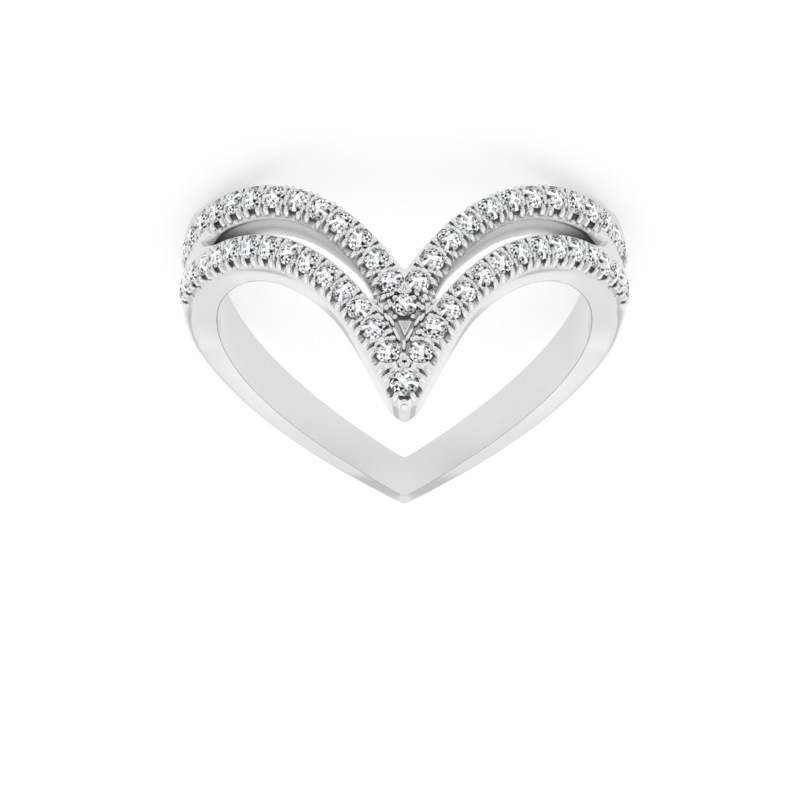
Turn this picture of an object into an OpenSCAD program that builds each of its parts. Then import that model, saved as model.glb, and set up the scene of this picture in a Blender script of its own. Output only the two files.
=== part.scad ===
// Chevron ring: a plain V shank that splits at the shoulders into two
// stone-set V rows, a front one and a rear one, joined at the centre.
// The ring is drawn round the Z axis first and then laid on its side.
// Angles run round the finger, from 0 at the tips of the two rows to 180 at
// the bottom of the shank. "Along" is a height along the finger that grows
// towards the tips, from the middle of the band's sides.

/* [Finger hole] */
// Inner diameter of the ring
finger_d = 17.3; // [16.5:0.1:18.2]

/* [Metal over the finger] */
// Height of the metal under the stone rows
head_h = 1.65; // [1.5:0.05:1.9]
// Height of the metal at the bottom of the shank
shank_h = 1.3; // [1.1:0.05:1.5]

/* [Stones] */
// Diameter of the stones in the rows
stone_d = 1.1; // [1:0.02:1.2]
// Diameter of the stone at the tip of the front row
tip_stone_d = 1.3; // [1.2:0.02:1.4]
// Gap from one stone of the front row to the next
front_gap = 0.1; // [0.1:0.01:0.16]
// Gap from one stone of the rear row to the next
rear_gap = 0.2; // [0.1:0.01:0.3]
// Gap from the tip stone to its neighbours
tip_gap = 0.5; // [0.2:0.02:0.6]
// Gap from those neighbours to the stones after them
pair_gap = 0.25; // [0.1:0.01:0.35]
// Clearance between a stone and its seat
seat_gap = 0.03; // [0.02:0.01:0.04]
// Metal beside a stone, out to the edge of its row
rim_w = 0.1; // [0.08:0.01:0.14]
// Diameter of the beads that hold the stones
bead_d = 0.26; // [0.22:0.01:0.3]
// Height of the beads above the metal
bead_h = 0.08; // [0.05:0.01:0.12]

/* [Front row] */
// How far the middle of the front row rises from the shoulders to its tip
front_rise = 8.7; // [7.8:0.1:9.4]
// How much further than the row the foot of its front wall rises
foot_lead = 0.5; // [0.4:0.05:0.7]

/* [Rear row] */
// How far the middle of the rear row rises from the shoulders to its tip
rear_rise = 7.1; // [6.6:0.1:7.4]
// How much less than the row the rear edge of the head rises
back_lag = 0.8; // [0.6:0.05:1]

/* [Shank] */
// Width of the band along the finger, at the shoulders
shoulder_w = 3.88; // [3.7:0.04:4.1]
// How far the front edge of the shank rises from the shoulders to its tip
shank_rise = 5; // [4.6:0.1:5.3]
// Width of the shank along the finger, at its tip
shank_tip_w = 1.95; // [1.8:0.05:2.3]
// Rounding of the outer edges of the shank
edge_r = 0.28; // [0.2:0.02:0.36]

/* [Hidden] */

metal = [0.86, 0.87, 0.88];
stone = [0.8, 0.88, 0.95];

// Radii and widths that follow from the sizes above
finger_r = finger_d / 2;
head_r = finger_r + head_h;
shank_r = finger_r + shank_h;
row_w = stone_d + 2 * rim_w;
front_pitch = stone_d + front_gap;
rear_pitch = stone_d + rear_gap;
tip_pitch = (stone_d + tip_stone_d) / 2 + tip_gap;
pair_pitch = stone_d + pair_gap;
foot_rise = front_rise + foot_lead;
back_rise = rear_rise - back_lag;
inner_rise = shank_rise + shoulder_w - shank_tip_w;

// Edges of the band at the shoulders, and the rows' middle lines inside them
side_front = 1.68;
side_back = side_front - shoulder_w;
front_inset = 0.68;
rear_inset = 0.95;
front_end = side_front - front_inset;
rear_end = side_back + rear_inset;
// The middle lines draw together by this much where the rows join
front_dip = 0.45;
rear_lift = 0.5;

// Stretches over which one form turns into the next: first degree and length
START = 0;
LENGTH = 1;
DIP = [60, 30];
LIFT = [62, 26];
PART = [5.5, 3];
SPREAD = [40, 25];
REAR_SPREAD = [35, 28];
JOIN = [63, 7];
PLAIN = [84, 22];
THIN = [76, 52];
// The front row's rear side and the rear row's front side spread by these shares
front_spread = 0.5;
rear_spread = 1;

// Reach of each V in degrees from its tip, and the power by which it flattens
front_reach = 99.4;
front_power = 4.7;
rear_reach = 115.4;
rear_power = 6.2;
back_reach = 136;
back_power = 6.1;
shank_reach = 100;
shank_power = 1.9;
inner_reach = 115;
inner_power = 1.75;
gap_reach = 58;
gap_power = 2.25;
// Degrees within which an edge turns over its tip
back_blunt = 0.5;
shank_blunt = 1;

// Foot of the front wall: an angle from the tip, and the share of its rise left there
ANGLE = 0;
SHARE = 1;
FOOT = [
    [-2.5, 0.975],
    [0, 1],
    [2.5, 0.975],
    [5, 0.925],
    [10, 0.765],
    [15, 0.6],
    [20, 0.46],
    [25, 0.36],
    [30, 0.28],
    [40, 0.155],
    [50, 0.075],
    [60, 0.027],
    [75, 0],
    [90, 0],
    [180, 0],
    [200, 0]
];

// Angle between the sections that the metal is lofted through
step = 2;
// The sections reach this far inside the finger hole, which cuts them back
bore_cut = 0.3;
// Half the angle that the rear row's own loft spans
rear_span = 78;
// A row's wall breaks this far below its top: nearly upright above, sloping below
break_h = 0.45;
front_break = 0.45;
rear_break = 0.6;
// Bevel along the rear edge of the head
back_bevel = 0.12;
// Where the rear wall of the gap stands at the shoulders
gap_foot_end = 0.14;
// The front loft runs this far into the rear row where they are one piece
join_lap = 0.04;

// Angles at which the rows' stones end
front_last = 88;
rear_last = 84;
// Room that a rear stone needs from the front row, past its own diameter
row_clear = 0.12;

// Proportions of a cut stone, as shares of its diameter
crown_share = 0.15;
table_share = 0.58;
girdle_share = 0.03;
pavilion_share = 0.43;
culet_share = 0.06;
// The stones' girdles lie this far below the top of the metal
girdle_sink = 0.12;
girdle_r = head_r - girdle_sink;
// Narrowest part of a seat, as a share of its mouth
seat_point = 0.2;

// Depth of a bead's root, how far in from the row's edge it stands, and its taper
bead_root = 0.4;
bead_inset = 0.1;
bead_taper = 0.7;
// Beads at the centre: sideways and back from the tip stone, as shares of its diameter
SIDE = 0;
BACK = 1;
CENTRE_BEADS = [
    [0, -0.66],
    [0, 0.58],
    [0, 0.9],
    [0.36, 1.6],
    [0.5, 1.9]
];

// Small helpers
tau_deg = 180 / PI;
function clamp01(t) = min(1, max(0, t));
function ease(t) = let(c = clamp01(t)) c * c * (3 - 2 * c);
function over(a, zone) = ease((a - zone[START]) / zone[LENGTH]);
function mix(a, b, t) = a + (b - a) * t;
// Angle from a tip, blunted so that an edge turns over the tip in an arc
function blunt(a, r) = sqrt(a * a + r * r);
// Share of a V's rise that is left at an angle from its tip
function vee(a, reach, power) = pow(1 - clamp01(a / reach), power);

// Smooth curve through the rows of a table
function row_at(table, a, i = 1) =
    a < table[i + 1][ANGLE] || i == len(table) - 3 ? i : row_at(table, a, i + 1);
function side_slope(table, i) =
    (table[i + 1][SHARE] - table[i - 1][SHARE]) / (table[i + 1][ANGLE] - table[i - 1][ANGLE]);
function curve(table, a) =
    let(
        i = row_at(table, a),
        w = table[i + 1][ANGLE] - table[i][ANGLE],
        t = (a - table[i][ANGLE]) / w,
        p = table[i][SHARE],
        q = table[i + 1][SHARE],
        m = side_slope(table, i) * w,
        n = side_slope(table, i + 1) * w
    )
    p + t * (m + t * (3 * (q - p) - 2 * m - n + t * (2 * (p - q) + m + n)));

// Middle lines of the two stone rows, and how steeply they run across the head
function front_mid(a) =
    front_end + front_rise * vee(a, front_reach, front_power) - front_dip * over(a, DIP);
function rear_mid(a) =
    rear_end + rear_rise * vee(a, rear_reach, rear_power) + rear_lift * over(a, LIFT);
function front_slope(a) = (front_mid(a + 0.5) - front_mid(abs(a - 0.5))) * tau_deg / head_r;
function rear_slope(a) = (rear_mid(a + 0.5) - rear_mid(abs(a - 0.5))) * tau_deg / head_r;
function stretch(slope) = sqrt(1 + slope * slope);

// Edges of the band: the front edge, the rear edge and the rear wall of the gap
function foot(a) =
    side_front
    + foot_rise * curve(FOOT, a)
    + shank_rise * vee(blunt(180 - a, shank_blunt), shank_reach, shank_power);
function back(a) =
    side_back
    + back_rise * vee(blunt(a, back_blunt), back_reach, back_power)
    + inner_rise * vee(blunt(180 - a, shank_blunt), inner_reach, inner_power);
function gap_foot(a) = gap_foot_end + back_rise * vee(a, gap_reach, gap_power);
function outer_r(a) = mix(head_r, shank_r, over(a, THIN));

// One section of the front row and the shank, as [along, radius] pairs.
// "shank" grows to 1 where the row has become the plain shank, and "join"
// where the front row has met the rear one.
function front_section(a) =
    let(
        half = row_w / 2 * stretch(front_slope(a)),
        shank = over(a, PLAIN),
        join = over(a, JOIN),
        low = foot(a),
        top = mix(front_mid(a) + half, low - edge_r, shank),
        free = front_mid(a) - half * (1 + front_spread * over(a, SPREAD)),
        open = mix(rear_mid(a), free, over(a, PART)),
        rear = mix(open, back(a) + edge_r * shank, join),
        wall = mix(open, back(a), join) - join_lap,
        r = outer_r(a),
        break_r = r - mix(break_h, edge_r, shank)
    )
    [
        [low, finger_r - bore_cut],
        [mix(top, low, mix(front_break, 1, shank)), break_r],
        [top, r],
        [rear, r],
        [wall, break_r],
        [wall, finger_r - bore_cut]
    ];

// One section of the rear row
function rear_section(a) =
    let(
        half = row_w / 2 * stretch(rear_slope(a)),
        top = rear_mid(a) + half * (1 + rear_spread * over(a, REAR_SPREAD)),
        low = max(top, gap_foot(a)),
        wall = back(a)
    )
    [
        [low, finger_r - bore_cut],
        [mix(top, low, rear_break), head_r - break_h],
        [top, head_r],
        [wall + back_bevel, head_r],
        [wall, head_r - 2 * back_bevel],
        [wall, finger_r - bore_cut]
    ];

// A point of the ring from its angle and its [along, radius] pair
function ring_point(a, p) = [p[1] * sin(a), -p[1] * cos(a), p[0]];

// Length along a row up to each degree, and the angles at which its stones sit
function hop(rise) = let(s = girdle_r / tau_deg) sqrt(s * s + rise * rise);
FRONT_LENGTHS = [for (a = 0, l = 0; a <= 95; l = l + hop(front_mid(a + 1) - front_mid(a)), a = a + 1) [l, a]];
REAR_LENGTHS = [for (a = 0, l = 0; a <= 95; l = l + hop(rear_mid(a + 1) - rear_mid(a)), a = a + 1) [l, a]];
function length_to(lengths, a) = lookup(a, [for (p = lengths) [p[1], p[0]]]);
front_count = floor((length_to(FRONT_LENGTHS, front_last) - tip_pitch - pair_pitch) / front_pitch) + 1;
rear_count = floor(length_to(REAR_LENGTHS, rear_last) / rear_pitch);
// Angle of a place in the front row: 0 is the first stone after the tip stone
function front_at(i) =
    lookup(
        i < 0 ? tip_pitch * (1 + i)
        : i < 1 ? tip_pitch + i * pair_pitch
        : tip_pitch + pair_pitch + (i - 1) * front_pitch,
        FRONT_LENGTHS
    );
function rear_at(i) = lookup(i * rear_pitch, REAR_LENGTHS);
function has_room(a) = front_mid(a) - rear_mid(a) > stone_d + row_clear;
front_angles = [for (i = [0:front_count]) front_at(i)];
rear_angles = [for (i = [1:rear_count]) if (has_room(rear_at(i))) rear_at(i)];

// The ring rests on the rear edges of its sides, at the angle where they lie
// straight below its centre of mass, and leans back so that they are level there
rest_angle = 77.5;
rest_step = 1;
rest_rise = back(rest_angle + rest_step) - back(rest_angle - rest_step);
rest_run = finger_r * (cos(rest_angle - rest_step) - cos(rest_angle + rest_step));
lean = atan(rest_rise / rest_run);
function leaned(p) = [p[0], p[1] * cos(lean) + p[2] * sin(lean), p[2] * cos(lean) - p[1] * sin(lean)];
lift = -min([for (a = [0:step:180]) leaned(ring_point(a, [back(a), finger_r]))[2]]);
head_y = min([for (a = [0:step:90]) leaned(ring_point(a, [back(a) + back_bevel, head_r]))[1]]);
shank_y = leaned(ring_point(180, [foot(180) - edge_r, shank_r]))[1];

module lay_down() {
    translate([0, -(head_y + shank_y) / 2, lift]) rotate([-lean, 0, 0]) children();
}

// Children are drawn with z pointing away from the finger, at angle a
module at_ring(a, along) {
    translate([0, 0, along]) rotate([0, 0, a]) rotate([90, 0, 0]) children();
}

module both_sides() {
    children();
    mirror([1, 0, 0]) children();
}

module loft(sections, closed) {
    n = len(sections);
    m = len(sections[0]);
    last = closed ? n - 1 : n - 2;
    points = [for (s = sections) each s];
    sides = [for (i = [0:last], j = [0:m - 1])
        let(k = (i + 1) % n, l = (j + 1) % m)
        each [[i * m + j, k * m + j, k * m + l], [i * m + j, k * m + l, i * m + l]]];
    ends = closed ? [] : [[for (j = [0:m - 1]) j], [for (j = [m - 1:-1:0]) (n - 1) * m + j]];
    polyhedron(points = points, faces = concat(sides, ends));
}

module front_loft() {
    loft([for (a = [-180:step:180 - step]) [for (p = front_section(abs(a))) ring_point(a, p)]], true);
}

module rear_loft() {
    loft([for (a = [-rear_span:step:rear_span]) [for (p = rear_section(abs(a))) ring_point(a, p)]], false);
}

module bore() {
    translate([0, 0, side_back - finger_d / 2])
        cylinder(r = finger_r, h = finger_d + foot_rise + shoulder_w, $fn = 180);
}

module seat(d) {
    r = d / 2 + seat_gap;
    deep = d * pavilion_share + seat_gap;
    translate([0, 0, girdle_r]) {
        cylinder(r = r, h = d, $fn = 32);
        translate([0, 0, -deep]) cylinder(r1 = r * seat_point, r2 = r, h = deep + 0.001, $fn = 32);
    }
}

module seats() {
    at_ring(0, front_mid(0)) seat(tip_stone_d);
    at_ring(0, rear_mid(0)) seat(stone_d);
    both_sides() {
        for (a = front_angles) at_ring(a, front_mid(a)) seat(stone_d);
        for (a = rear_angles) at_ring(a, rear_mid(a)) seat(stone_d);
    }
}

module bead(a, along) {
    at_ring(a, along) translate([0, 0, head_r - bead_root])
        cylinder(d1 = bead_d, d2 = bead_d * bead_taper, h = bead_root + bead_h, $fn = 16);
}

// Two beads across a row, square to its middle line, between two stones
module bead_pair(a, mid, slope) {
    off = (row_w / 2 - bead_inset) / stretch(slope);
    for (side = [-off, off]) bead(a - side * slope * tau_deg / head_r, mid + side);
}

module beads() {
    both_sides() {
        for (i = [-0.5:1:front_count]) let(a = front_at(i)) bead_pair(a, front_mid(a), front_slope(a));
        for (i = [0.5:1:rear_count]) let(a = rear_at(i)) bead_pair(a, rear_mid(a), rear_slope(a));
        for (b = CENTRE_BEADS)
            bead(b[SIDE] * tip_stone_d * tau_deg / head_r, front_mid(0) - b[BACK] * tip_stone_d);
    }
}

module band() {
    color(metal) lay_down() difference() {
        union() {
            front_loft();
            rear_loft();
            beads();
        }
        bore();
        seats();
    }
}

module brilliant(d) {
    translate([0, 0, girdle_r]) rotate_extrude($fn = 8) polygon([
        [0, -d * pavilion_share],
        [d * culet_share / 2, -d * pavilion_share],
        [d / 2, 0],
        [d / 2, d * girdle_share],
        [d * table_share / 2, d * (girdle_share + crown_share)],
        [0, d * (girdle_share + crown_share)]
    ]);
}

module front_stones() {
    color(stone) lay_down() {
        at_ring(0, front_mid(0)) brilliant(tip_stone_d);
        both_sides() for (a = front_angles) at_ring(a, front_mid(a)) brilliant(stone_d);
    }
}

module rear_stones() {
    color(stone) lay_down() {
        at_ring(0, rear_mid(0)) brilliant(stone_d);
        both_sides() for (a = rear_angles) at_ring(a, rear_mid(a)) brilliant(stone_d);
    }
}

band();
front_stones();
rear_stones();
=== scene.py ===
"""A polished chevron ring with two V rows of small stones, lying on its side on a pale floor."""

import logging
import math
import random
from collections.abc import Callable, Sequence
from dataclasses import dataclass, field
from enum import Enum

import bmesh
import bpy
from mathutils import Matrix, Quaternion, Vector
from mathutils.kdtree import KDTree


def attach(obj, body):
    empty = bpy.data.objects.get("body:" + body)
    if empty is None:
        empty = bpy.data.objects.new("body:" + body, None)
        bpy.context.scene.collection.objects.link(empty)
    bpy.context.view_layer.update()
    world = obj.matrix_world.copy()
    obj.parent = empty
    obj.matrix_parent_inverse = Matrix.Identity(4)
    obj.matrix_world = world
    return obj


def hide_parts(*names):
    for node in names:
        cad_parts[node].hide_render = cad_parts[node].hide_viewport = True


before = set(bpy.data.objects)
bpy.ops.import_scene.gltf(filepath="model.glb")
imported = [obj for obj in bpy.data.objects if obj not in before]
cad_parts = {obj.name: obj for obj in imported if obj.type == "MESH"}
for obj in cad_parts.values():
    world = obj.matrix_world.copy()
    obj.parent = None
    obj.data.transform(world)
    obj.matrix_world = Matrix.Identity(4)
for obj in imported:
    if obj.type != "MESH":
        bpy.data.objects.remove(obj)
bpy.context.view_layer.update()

LOG = logging.getLogger("chevron_ring")
MM = 0.001
BODY = "root"
RADIAN = math.degrees(1.0)

Pair = tuple[float, float]
Triple = tuple[float, float, float]
Piece = bpy.types.Object
Material = bpy.types.Material
Socket = bpy.types.NodeSocket


class Cut(Enum):
    """How one solid works on another."""

    JOIN = "UNION"
    TAKE = "DIFFERENCE"


class PaintedFacetLight(Enum):
    """Painted light and shade of a stone's facet, standing in for the light and dark that the cut sends
    back.
    """

    WHITE = 1.0
    PALE = 0.8
    LIGHT = 0.55
    GREY = 0.3
    DARK = 0.13
    BLACK = 0.0

    @classmethod
    def spell(cls, letters: str) -> list[float]:
        """Reads tones from their first letters."""
        tones = {tone.name[0]: tone.value for tone in cls}
        return [tones[letter] for letter in letters]


class Slot(Enum):
    """Material slots of the record."""

    METAL = "polished_metal"
    STONE = "clear_stone"


def clamp01(t: float) -> float:
    """Limits a number to the range from 0 to 1."""
    return min(1.0, max(0.0, t))


def ease(t: float) -> float:
    """Smooth step from 0 to 1."""
    c = clamp01(t)
    return c * c * (3 - 2 * c)


def mix(a: float, b: float, t: float) -> float:
    """Blend from a to b by t."""
    return a + (b - a) * t


def soft_min(x: float, y: float, reach: float) -> float:
    """The smaller of two numbers, with a smooth turn where they meet."""
    t = clamp01(0.5 + 0.5 * (y - x) / reach)
    return mix(y, x, t) - reach * t * (1 - t)


def round_steps(count: int, turn: float = 0.0) -> list[float]:
    """Angles in radians of steps all the way round, the first of them a share of a step on."""
    return [2 * math.pi * (i + turn) / count for i in range(count)]


@dataclass(frozen=True)
class Zone:
    """A stretch of angle over which one form turns into the next."""

    start: float
    length: float

    def at(self, a: float) -> float:
        """Share of the change that is done at an angle."""
        return ease((a - self.start) / self.length)


@dataclass(frozen=True)
class Fall:
    """How a V's rise falls off with the angle from its tip, which may be blunted to an arc."""

    reach: float
    power: float
    blunt: float = 0.0

    def at(self, a: float) -> float:
        """Share of the rise that is left at an angle."""
        return (1 - clamp01(math.hypot(a, self.blunt) / self.reach)) ** self.power


@dataclass(frozen=True)
class Place:
    """A spot on the ring with its own axes: along the row, across it, and away from the finger."""

    spot: Vector
    tangent: Vector
    across: Vector
    normal: Vector

    def point(self, t: float, b: float, n: float) -> Vector:
        """A point given in millimetres along the place's axes, in metres."""
        return self.spot + (self.tangent * t + self.across * b + self.normal * n) * MM

    def turn(self) -> Quaternion:
        """The turn that brings X, Y and Z onto the place's axes."""
        return Matrix((self.tangent, self.across, self.normal)).transposed().to_quaternion()

    def turned(self, degrees: float) -> "Place":
        """The same place, turned about its normal from tangent towards across."""
        turn = Quaternion(self.normal, math.radians(degrees))
        return Place(self.spot, turn @ self.tangent, turn @ self.across, self.normal)

    def tilted(self, degrees: float) -> "Place":
        """The same place, turned about its tangent so that its across sinks by an angle."""
        turn = Quaternion(self.tangent, math.radians(-degrees))
        return Place(self.spot, self.tangent, turn @ self.across, turn @ self.normal)

    def moved(self, t: float, b: float, n: float) -> "Place":
        """The same axes at another spot, by millimetres along them."""
        return Place(self.point(t, b, n), self.tangent, self.across, self.normal)


@dataclass(frozen=True)
class RingForm:
    """The ring's form in millimetres, drawn round the finger's axis and then laid on its side.

    Angles run in degrees from the tips of the two rows, at 0, to the bottom of the shank, at 180.
    """

    finger_d: float = 17.3
    head_h: float = 1.65
    shank_h: float = 1.3
    stone_d: float = 1.1
    tip_stone_d: float = 1.3
    front_gap: float = 0.1
    rear_gap: float = 0.2
    tip_gap: float = 0.5
    pair_gap: float = 0.25
    row_gap: float = 0.12
    rim_w: float = 0.1
    front_rise: float = 8.7
    foot_lead: float = 0.5
    rear_rise: float = 7.1
    back_lag: float = 0.8
    shoulder_w: float = 3.88
    shank_rise: float = 5.0
    shank_tip_w: float = 1.95
    edge_r: float = 0.28
    side_front: float = 1.68
    front_inset: float = 0.68
    rear_inset: float = 0.95
    front_dip: float = 0.45
    rear_lift: float = 0.5
    front_fall: Fall = Fall(99.4, 4.7)
    rear_fall: Fall = Fall(115.4, 6.2)
    back_fall: Fall = Fall(136, 6.1, 0.5)
    gap_fall: Fall = Fall(58, 2.25)
    shank_fall: Fall = Fall(100, 1.9, 1)
    inner_fall: Fall = Fall(115, 1.75, 1)
    foot_shares: tuple[Pair, ...] = (
        (-2.5, 0.975), (0, 1), (2.5, 0.975), (5, 0.925), (10, 0.765), (15, 0.6), (20, 0.46), (25, 0.36),
        (30, 0.28), (40, 0.155), (50, 0.075), (60, 0.027), (75, 0), (90, 0), (180, 0), (200, 0),
    )
    dip: Zone = Zone(60, 30)
    lift_zone: Zone = Zone(62, 26)
    part: Zone = Zone(5.5, 3)
    spread: Zone = Zone(40, 25)
    rear_spread: Zone = Zone(35, 28)
    join: Zone = Zone(63, 7)
    plain: Zone = Zone(84, 22)
    thin: Zone = Zone(76, 52)
    break_h: float = 0.45
    rear_break: float = 0.6
    back_bevel: float = 0.12
    gap_foot_end: float = 0.14
    join_lap: float = 0.04
    girdle_sink: float = 0.12
    front_stones_end: float = 88.0
    rear_stones_end: float = 84.0
    front_prongs_end: float = 90.0
    rear_prongs_end: float = 61.0
    rest_angle: float = 77.5
    tip_round: float = 1.6
    slope_step: float = 0.5
    arc_steps: int = 24
    table_step: float = 0.5
    table_rows: int = 200

    @property
    def finger_r(self) -> float:
        """Radius of the finger hole."""
        return self.finger_d / 2

    @property
    def head_r(self) -> float:
        """Radius of the tops of the stone rows."""
        return self.finger_r + self.head_h

    @property
    def shank_r(self) -> float:
        """Radius of the shank's outside."""
        return self.finger_r + self.shank_h

    @property
    def row_w(self) -> float:
        """Width of a stone row."""
        return self.stone_d + 2 * self.rim_w

    @property
    def side_back(self) -> float:
        """Rear edge of the band at the shoulders."""
        return self.side_front - self.shoulder_w

    def front_mid(self, a: float) -> float:
        """Middle line of the front row, as a height along the finger."""
        end = self.side_front - self.front_inset
        return end + self.front_rise * self.front_fall.at(a) - self.front_dip * self.dip.at(a)

    def rear_mid(self, a: float) -> float:
        """Middle line of the rear row, as a height along the finger."""
        end = self.side_back + self.rear_inset
        return end + self.rear_rise * self.rear_fall.at(a) + self.rear_lift * self.lift_zone.at(a)

    def slope(self, mid: Callable[[float], float], a: float) -> float:
        """How steeply a row runs across the head, on one side of the tips.

        Args:
            mid: Middle line of the row.
            a: Angle from the tips, with its sign.

        Returns:
            Rise along the finger for each length round it.
        """
        size = abs(a)
        rise = mid(size + self.slope_step) - mid(abs(size - self.slope_step))
        slope = rise * RADIAN / (2 * self.slope_step * self.head_r)
        return slope * a / math.hypot(size, self.tip_round)

    def beside(self, mid: Callable[[float], float], a: float, off: float) -> float:
        """Height along the finger of a line that runs beside a row, round its tip in an arc.

        Args:
            mid: Middle line of the row.
            a: Angle from the tips.
            off: Distance from the middle line, positive towards the front.

        Returns:
            The height at that angle.
        """
        reach = abs(off)
        heights = []
        for i in range(-self.arc_steps, self.arc_steps + 1):
            x = reach * i / self.arc_steps
            rise = math.sqrt(max(0.0, reach * reach - x * x))
            heights.append(mid(abs(a + x * RADIAN / self.head_r)) + math.copysign(rise, off))
        return max(heights) if off > 0 else min(heights)

    def foot_share(self, a: float) -> float:
        """Smooth curve through the table of the front wall's foot."""
        rows = self.foot_shares
        i = next(k for k in range(1, len(rows) - 2) if a < rows[k + 1][0] or k == len(rows) - 3)
        w = rows[i + 1][0] - rows[i][0]
        t = (a - rows[i][0]) / w
        p, q = rows[i][1], rows[i + 1][1]
        m = (rows[i + 1][1] - rows[i - 1][1]) / (rows[i + 1][0] - rows[i - 1][0]) * w
        n = (rows[i + 2][1] - rows[i][1]) / (rows[i + 2][0] - rows[i][0]) * w
        return p + t * (m + t * (3 * (q - p) - 2 * m - n + t * (2 * (p - q) + m + n)))

    def foot(self, a: float) -> float:
        """Front edge of the band."""
        shank = self.shank_rise * self.shank_fall.at(180 - a)
        return self.side_front + (self.front_rise + self.foot_lead) * self.foot_share(a) + shank

    def back(self, a: float) -> float:
        """Rear edge of the band."""
        inner = self.shank_rise + self.shoulder_w - self.shank_tip_w
        head = (self.rear_rise - self.back_lag) * self.back_fall.at(a)
        return self.side_back + head + inner * self.inner_fall.at(180 - a)

    def gap_foot(self, a: float) -> float:
        """Foot of the gap's rear wall."""
        return self.gap_foot_end + (self.rear_rise - self.back_lag) * self.gap_fall.at(a)

    def outer_r(self, a: float) -> float:
        """Radius of the band's outside."""
        return mix(self.head_r, self.shank_r, self.thin.at(a))

    def lean(self) -> float:
        """Angle by which the resting ring leans back, in radians."""
        rise = self.back(self.rest_angle + 1) - self.back(self.rest_angle - 1)
        low = math.cos(math.radians(self.rest_angle - 1))
        high = math.cos(math.radians(self.rest_angle + 1))
        return math.atan(rise / (self.finger_r * (low - high)))

    def ring_point(self, a: float, along: float, r: float) -> Vector:
        """A point of the ring before it is laid down, in millimetres."""
        turn = math.radians(a)
        return Vector((r * math.sin(turn), -r * math.cos(turn), along))

    def lay_down(self) -> Matrix:
        """The move that lays the ring on its side, from millimetres to metres."""
        turn = Matrix.Rotation(-self.lean(), 4, "X")
        half = range(0, 181, 2)
        lowest = min((turn @ self.ring_point(a, self.back(a), self.finger_r)).z for a in half)
        top = [self.ring_point(a, self.back(a) + self.back_bevel, self.head_r) for a in half if a <= 90]
        head = min((turn @ p).y for p in top)
        shank = (turn @ self.ring_point(180, self.foot(180) - self.edge_r, self.shank_r)).y
        return Matrix.Scale(MM, 4) @ Matrix.Translation((0, -(head + shank) / 2, -lowest)) @ turn

    def length_table(self, mid: Callable[[float], float]) -> list[Pair]:
        """Pairs of length and angle, by small steps along a row's middle line from its tip."""
        step = self.table_step
        table = [(0.0, 0.0)]
        run = (self.head_r - self.girdle_sink) * math.radians(step)
        for i in range(self.table_rows):
            a = i * step
            table.append((table[-1][0] + math.hypot(run, mid(a + step) - mid(a)), a + step))
        return table


@dataclass(frozen=True)
class Surface:
    """Turns angles, heights along the finger and radii into places of the resting ring."""

    form: RingForm
    laid: Matrix

    def point(self, a: float, along: float, r: float) -> Vector:
        """A point of the resting ring, in metres."""
        return self.laid @ self.form.ring_point(a, along, r)

    def read(self, spot: Vector) -> tuple[float, float, float]:
        """Angle, height along the finger and radius of a point of the resting ring."""
        p = self.laid.inverted() @ spot
        return math.degrees(math.atan2(p.x, -p.y)), p.z, math.hypot(p.x, p.y)

    def angle_at(self, side: float) -> float:
        """Angle of a distance round the tops of the rows."""
        return side / self.form.head_r * RADIAN

    def place(self, a: float, along: float, r: float, slope: float = 0.0) -> Place:
        """A place on the resting ring.

        Args:
            a: Angle from the tips.
            along: Height along the finger.
            r: Radius.
            slope: How steeply the row runs there.

        Returns:
            The place, with its tangent along the row and its across towards the front.
        """
        turn = math.radians(a)
        round_way = self.laid.to_3x3() @ Vector((math.cos(turn), math.sin(turn), 0))
        finger_way = self.laid.to_3x3() @ Vector((0, 0, 1))
        tangent = (round_way + finger_way * slope).normalized()
        across = (finger_way - round_way * slope).normalized()
        return Place(self.point(a, along, r), tangent, across, tangent.cross(across))


def look_up(table: Sequence[Pair], x: float) -> float:
    """Reads a rising table of pairs at x, with straight lines between its rows."""
    for (x0, y0), (x1, y1) in zip(table, table[1:]):
        if x <= x1:
            return mix(y0, y1, (x - x0) / (x1 - x0))
    return table[-1][1]


@dataclass(frozen=True)
class Row:
    """One V row of stones: its middle line and the lengths at which its stones and posts stand."""

    name: str
    surface: Surface
    mid: Callable[[float], float]
    stone_spots: tuple[float, ...]
    post_spots: tuple[float, ...]
    lengths: tuple[Pair, ...]
    tip_d: float
    open_to: float

    def angle(self, length: float) -> float:
        """Angle of a signed length along the row from its tip."""
        return math.copysign(look_up(self.lengths, abs(length)), length)

    def open_at(self, length: float) -> bool:
        """Whether nothing lies close in front of the row at a signed length."""
        return abs(self.angle(length)) < self.open_to

    def stones(self) -> list[Pair]:
        """Signed length and diameter of each stone, from the tip's on."""
        d = self.surface.form.stone_d
        return [(0.0, self.tip_d)] + [(length, d) for length in self.stone_spots]

    def place_at(self, length: float, r: float) -> Place:
        """The place of a signed length along the row."""
        a = self.angle(length)
        return self.surface.place(a, self.mid(abs(a)), r, self.surface.form.slope(self.mid, a))

    def level_place(self, length: float, r: float) -> Place:
        """The place of a signed length, with its axes round and along the finger."""
        a = self.angle(length)
        return self.surface.place(a, self.mid(abs(a)), r)


def both_ways(spots: Sequence[float]) -> tuple[float, ...]:
    """The same lengths on both sides of the tip."""
    return tuple(-s for s in reversed(spots)) + tuple(spots)


def between(spots: Sequence[float]) -> list[float]:
    """The middles between neighbouring lengths."""
    return [(p + q) / 2 for p, q in zip(spots, spots[1:])]


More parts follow.
